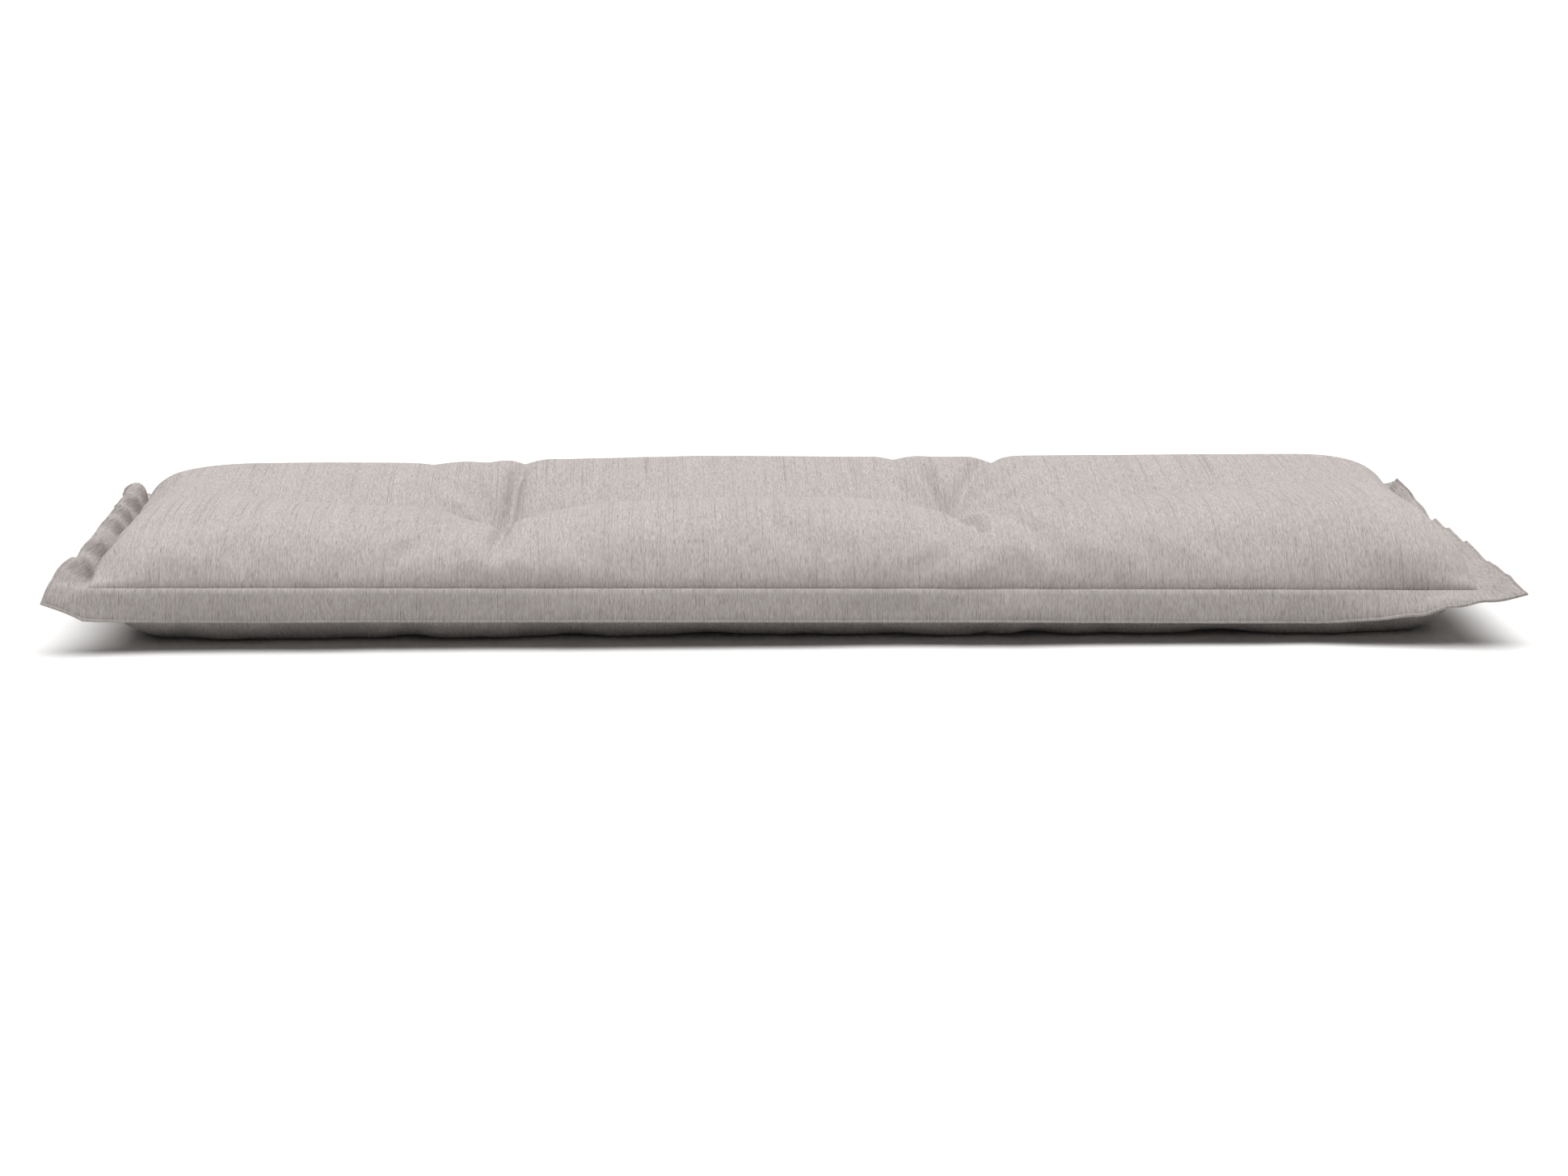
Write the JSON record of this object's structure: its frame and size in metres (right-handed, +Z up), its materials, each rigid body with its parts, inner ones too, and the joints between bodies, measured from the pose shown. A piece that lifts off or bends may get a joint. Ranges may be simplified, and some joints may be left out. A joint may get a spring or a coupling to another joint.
{
  "type": "bench cushion",
  "caption": "Long stuffed bench cushion in woven fabric, tufted without buttons, with a flat stitched flange all round; a loose pad for the seat of a bench.",
  "frame": {"origin": "centre of the plan outline, on the surface the cushion rests on", "axes": "+X along the length, +Y from the front edge to the back edge, +Z up out of the top panel"},
  "size_m": [1.209, 0.4918, 0.102],
  "materials": {
    "body_cloth": "woven, matt",
    "flange_cloth": "woven, matt"
  },
  "bodies": {
    "root": {"filled_body": "body_cloth", "flange": "flange_cloth"}
  },
  "joints": []
}
